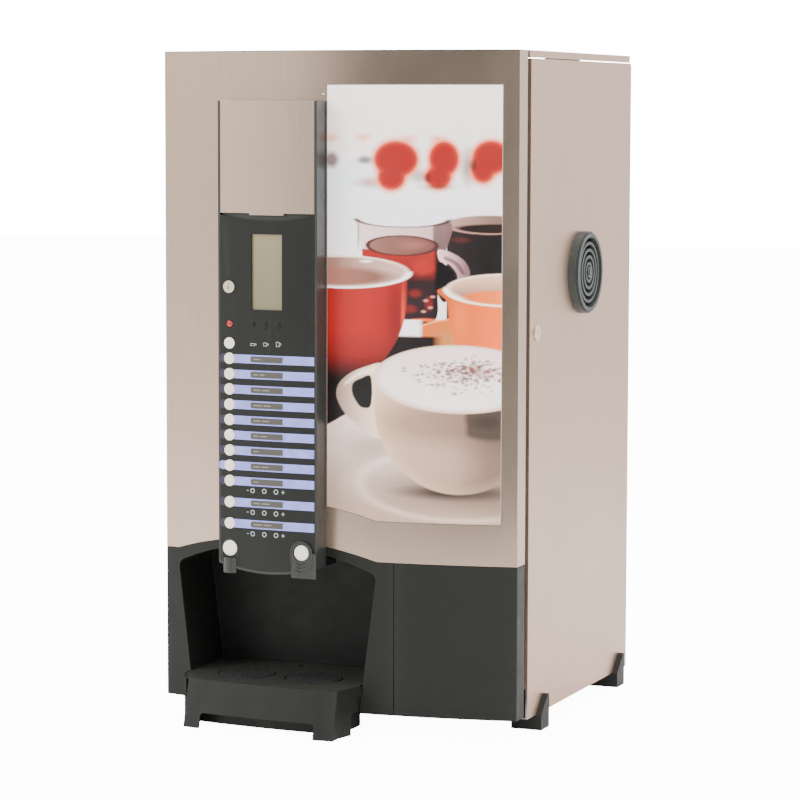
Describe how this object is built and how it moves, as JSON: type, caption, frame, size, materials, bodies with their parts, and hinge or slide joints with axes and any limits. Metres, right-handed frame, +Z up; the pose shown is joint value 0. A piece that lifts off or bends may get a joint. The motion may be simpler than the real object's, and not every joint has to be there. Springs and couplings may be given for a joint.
{
  "type": "hot coffee vending machine",
  "caption": "Table-top hot drinks vending machine: bowed steel door with control column, poster and arched cup bay, on four feet, with removable drip tray.",
  "frame": {"origin": "on the floor, below the middle of the whole machine", "axes": "+Z up, -Y out of the door, +X to the right as seen from the front"},
  "size_m": [0.522, 0.576, 0.886],
  "materials": {
    "zinc": "galvanised sheet",
    "steel_side": "fine brushed stainless",
    "foot_plastic": "moulded, fine texture",
    "canister_plastic": "translucent white",
    "bowl_plastic": "moulded",
    "boiler_steel": "satin",
    "brewer_plastic": "moulded",
    "motor_metal": "satin",
    "hose_silicone": "translucent silicone",
    "bin_plastic": "moulded",
    "electronics_case": "plated case and green board",
    "inlet_plastic": "moulded",
    "valve_brass": "cast and machined",
    "fan_plastic": "moulded",
    "vent_plastic": "moulded, fine texture",
    "screw_steel": "plated",
    "steel_door": "fine brushed stainless",
    "poster": "printed panel",
    "lower_plastic": "moulded, fine texture",
    "column_plastic": "satin moulded",
    "fascia_plastic": "satin film",
    "display_glass": "display window",
    "label_film": "printed film",
    "lamp_plastic": "tinted lens",
    "lock_metal": "nickel plated",
    "auger_plastic": "moulded",
    "steel_flap": "fine brushed stainless",
    "tray_plastic": "moulded, fine texture",
    "tray_top_plastic": "moulded",
    "stand_rubber": "moulded",
    "button_plastic": "ivory, satin"
  },
  "bodies": {
    "cabinet": {"base_pan": "zinc", "left_side_panel": "steel_side", "right_side_panel": "steel_side", "back_panel": "zinc", "feet": "foot_plastic", "hinge_brackets": "zinc", "chassis": "zinc", "canisters": "canister_plastic", "canister_lids": "canister_plastic", "mixing_bowls": "bowl_plastic", "boiler": "boiler_steel", "brewer_body": "brewer_plastic", "drive_motors": "motor_metal", "hoses": "hose_silicone", "waste_bin": "bin_plastic", "electronics": "electronics_case", "mains_inlet": "inlet_plastic", "water_inlet": "valve_brass", "fan_frame": "fan_plastic", "vent_grille": "vent_plastic", "fasteners": "screw_steel"},
    "door": {"door_skin": "steel_door", "door_frame": "zinc", "poster_panel": "poster", "cup_bay": "lower_plastic", "access_panel": "lower_plastic", "control_housing": "column_plastic", "control_fascia": "fascia_plastic", "display": "display_glass", "label_strips": "label_film", "indicator_lamps": "lamp_plastic", "spouts": "column_plastic"},
    "lid": {"top_lid": "steel_side"},
    "side_lock": {"side_lock": "lock_metal"},
    "fan": {"fan_rotor": "fan_plastic"},
    "auger_left": {"auger_left": "auger_plastic"},
    "auger_middle": {"auger_middle": "auger_plastic"},
    "auger_right": {"auger_right": "auger_plastic"},
    "whipper_middle": {"whipper_middle": "auger_plastic"},
    "whipper_right": {"whipper_right": "auger_plastic"},
    "piston": {"brewer_piston": "brewer_plastic"},
    "front_lock": {"front_lock": "lock_metal"},
    "flap": {"service_flap": "steel_flap"},
    "tray": {"drip_tray": "tray_plastic"},
    "tray_top": {"tray_plate": "tray_top_plastic", "cup_stands": "stand_rubber"},
    "drink_button_01": {"drink_button_01": "button_plastic"},
    "drink_button_02": {"drink_button_02": "button_plastic"},
    "drink_button_03": {"drink_button_03": "button_plastic"},
    "drink_button_04": {"drink_button_04": "button_plastic"},
    "drink_button_05": {"drink_button_05": "button_plastic"},
    "drink_button_06": {"drink_button_06": "button_plastic"},
    "drink_button_07": {"drink_button_07": "button_plastic"},
    "drink_button_08": {"drink_button_08": "button_plastic"},
    "drink_button_09": {"drink_button_09": "button_plastic"},
    "drink_button_10": {"drink_button_10": "button_plastic"},
    "drink_button_11": {"drink_button_11": "button_plastic"},
    "drink_button_12": {"drink_button_12": "button_plastic"},
    "big_button_left": {"big_button_left": "button_plastic"},
    "big_button_right": {"big_button_right": "button_plastic"}
  },
  "joints": [
    {"name": "door_hinge", "type": "hinge", "parent": "cabinet", "child": "door", "pos_m": [-0.24, -0.17, 0.45], "axis": [0, 0, -1], "range_deg": [0, 110]},
    {"name": "lid_hinge", "type": "hinge", "parent": "cabinet", "child": "lid", "pos_m": [0, 0.265, 0.88], "axis": [-1, 0, 0], "range_deg": [0, 80]},
    {"name": "side_lock_turn", "type": "hinge", "parent": "cabinet", "child": "side_lock", "pos_m": [0.25, -0.122, 0.523], "axis": [-1, 0, 0], "range_deg": [0, 90]},
    {"name": "front_lock_turn", "type": "hinge", "parent": "door", "child": "front_lock", "pos_m": [-0.1314, -0.24203, 0.58], "axis": [0, -1, 0], "range_deg": [0, 90]},
    {"name": "flap_hinge", "type": "hinge", "parent": "door", "child": "flap", "pos_m": [-0.0765, -0.23174, 0.813], "axis": [-1, 0, 0], "range_deg": [0, 90]},
    {"name": "tray_slide", "type": "slide", "parent": "door", "child": "tray", "axis": [0, -1, 0], "range_m": [0, 0.15]},
    {"name": "tray_top_lift", "type": "slide", "parent": "tray", "child": "tray_top", "axis": [0, 0, 1], "range_m": [0, 0.06]},
    {"name": "fan_spin", "type": "hinge", "parent": "cabinet", "child": "fan", "pos_m": [0.23, 0.056, 0.593], "axis": [1, 0, 0], "continuous": true},
    {"name": "auger_left_spin", "type": "hinge", "parent": "cabinet", "child": "auger_left", "pos_m": [-0.15, 0.092, 0.5785], "axis": [0, 1, 0], "continuous": true},
    {"name": "auger_middle_spin", "type": "hinge", "parent": "cabinet", "child": "auger_middle", "pos_m": [-0.018, 0.092, 0.5785], "axis": [0, 1, 0], "continuous": true},
    {"name": "auger_right_spin", "type": "hinge", "parent": "cabinet", "child": "auger_right", "pos_m": [0.114, 0.092, 0.5785], "axis": [0, 1, 0], "continuous": true},
    {"name": "whipper_middle_spin", "type": "hinge", "parent": "cabinet", "child": "whipper_middle", "pos_m": [-0.018, 0, 0.474], "axis": [0, 1, 0], "continuous": true},
    {"name": "whipper_right_spin", "type": "hinge", "parent": "cabinet", "child": "whipper_right", "pos_m": [0.114, 0, 0.474], "axis": [0, 1, 0], "continuous": true},
    {"name": "brewer_piston_lift", "type": "slide", "parent": "cabinet", "child": "piston", "axis": [0, 0, 1], "range_m": [0, 0.07]},
    {"name": "drink_button_01_press", "type": "slide", "parent": "door", "child": "drink_button_01", "axis": [0, 1, 0], "range_m": [0, 0.002], "stiffness_N_per_m": 400},
    {"name": "drink_button_02_press", "type": "slide", "parent": "door", "child": "drink_button_02", "axis": [0, 1, 0], "range_m": [0, 0.002], "stiffness_N_per_m": 400},
    {"name": "drink_button_03_press", "type": "slide", "parent": "door", "child": "drink_button_03", "axis": [0, 1, 0], "range_m": [0, 0.002], "stiffness_N_per_m": 400},
    {"name": "drink_button_04_press", "type": "slide", "parent": "door", "child": "drink_button_04", "axis": [0, 1, 0], "range_m": [0, 0.002], "stiffness_N_per_m": 400},
    {"name": "drink_button_05_press", "type": "slide", "parent": "door", "child": "drink_button_05", "axis": [0, 1, 0], "range_m": [0, 0.002], "stiffness_N_per_m": 400},
    {"name": "drink_button_06_press", "type": "slide", "parent": "door", "child": "drink_button_06", "axis": [0, 1, 0], "range_m": [0, 0.002], "stiffness_N_per_m": 400},
    {"name": "drink_button_07_press", "type": "slide", "parent": "door", "child": "drink_button_07", "axis": [0, 1, 0], "range_m": [0, 0.002], "stiffness_N_per_m": 400},
    {"name": "drink_button_08_press", "type": "slide", "parent": "door", "child": "drink_button_08", "axis": [0, 1, 0], "range_m": [0, 0.002], "stiffness_N_per_m": 400},
    {"name": "drink_button_09_press", "type": "slide", "parent": "door", "child": "drink_button_09", "axis": [0, 1, 0], "range_m": [0, 0.002], "stiffness_N_per_m": 400},
    {"name": "drink_button_10_press", "type": "slide", "parent": "door", "child": "drink_button_10", "axis": [0, 1, 0], "range_m": [0, 0.002], "stiffness_N_per_m": 400},
    {"name": "drink_button_11_press", "type": "slide", "parent": "door", "child": "drink_button_11", "axis": [0, 1, 0], "range_m": [0, 0.002], "stiffness_N_per_m": 400},
    {"name": "drink_button_12_press", "type": "slide", "parent": "door", "child": "drink_button_12", "axis": [0, 1, 0], "range_m": [0, 0.002], "stiffness_N_per_m": 400},
    {"name": "big_button_left_press", "type": "slide", "parent": "door", "child": "big_button_left", "axis": [0, 1, 0], "range_m": [0, 0.002], "stiffness_N_per_m": 400},
    {"name": "big_button_right_press", "type": "slide", "parent": "door", "child": "big_button_right", "axis": [0, 1, 0], "range_m": [0, 0.002], "stiffness_N_per_m": 400}
  ]
}
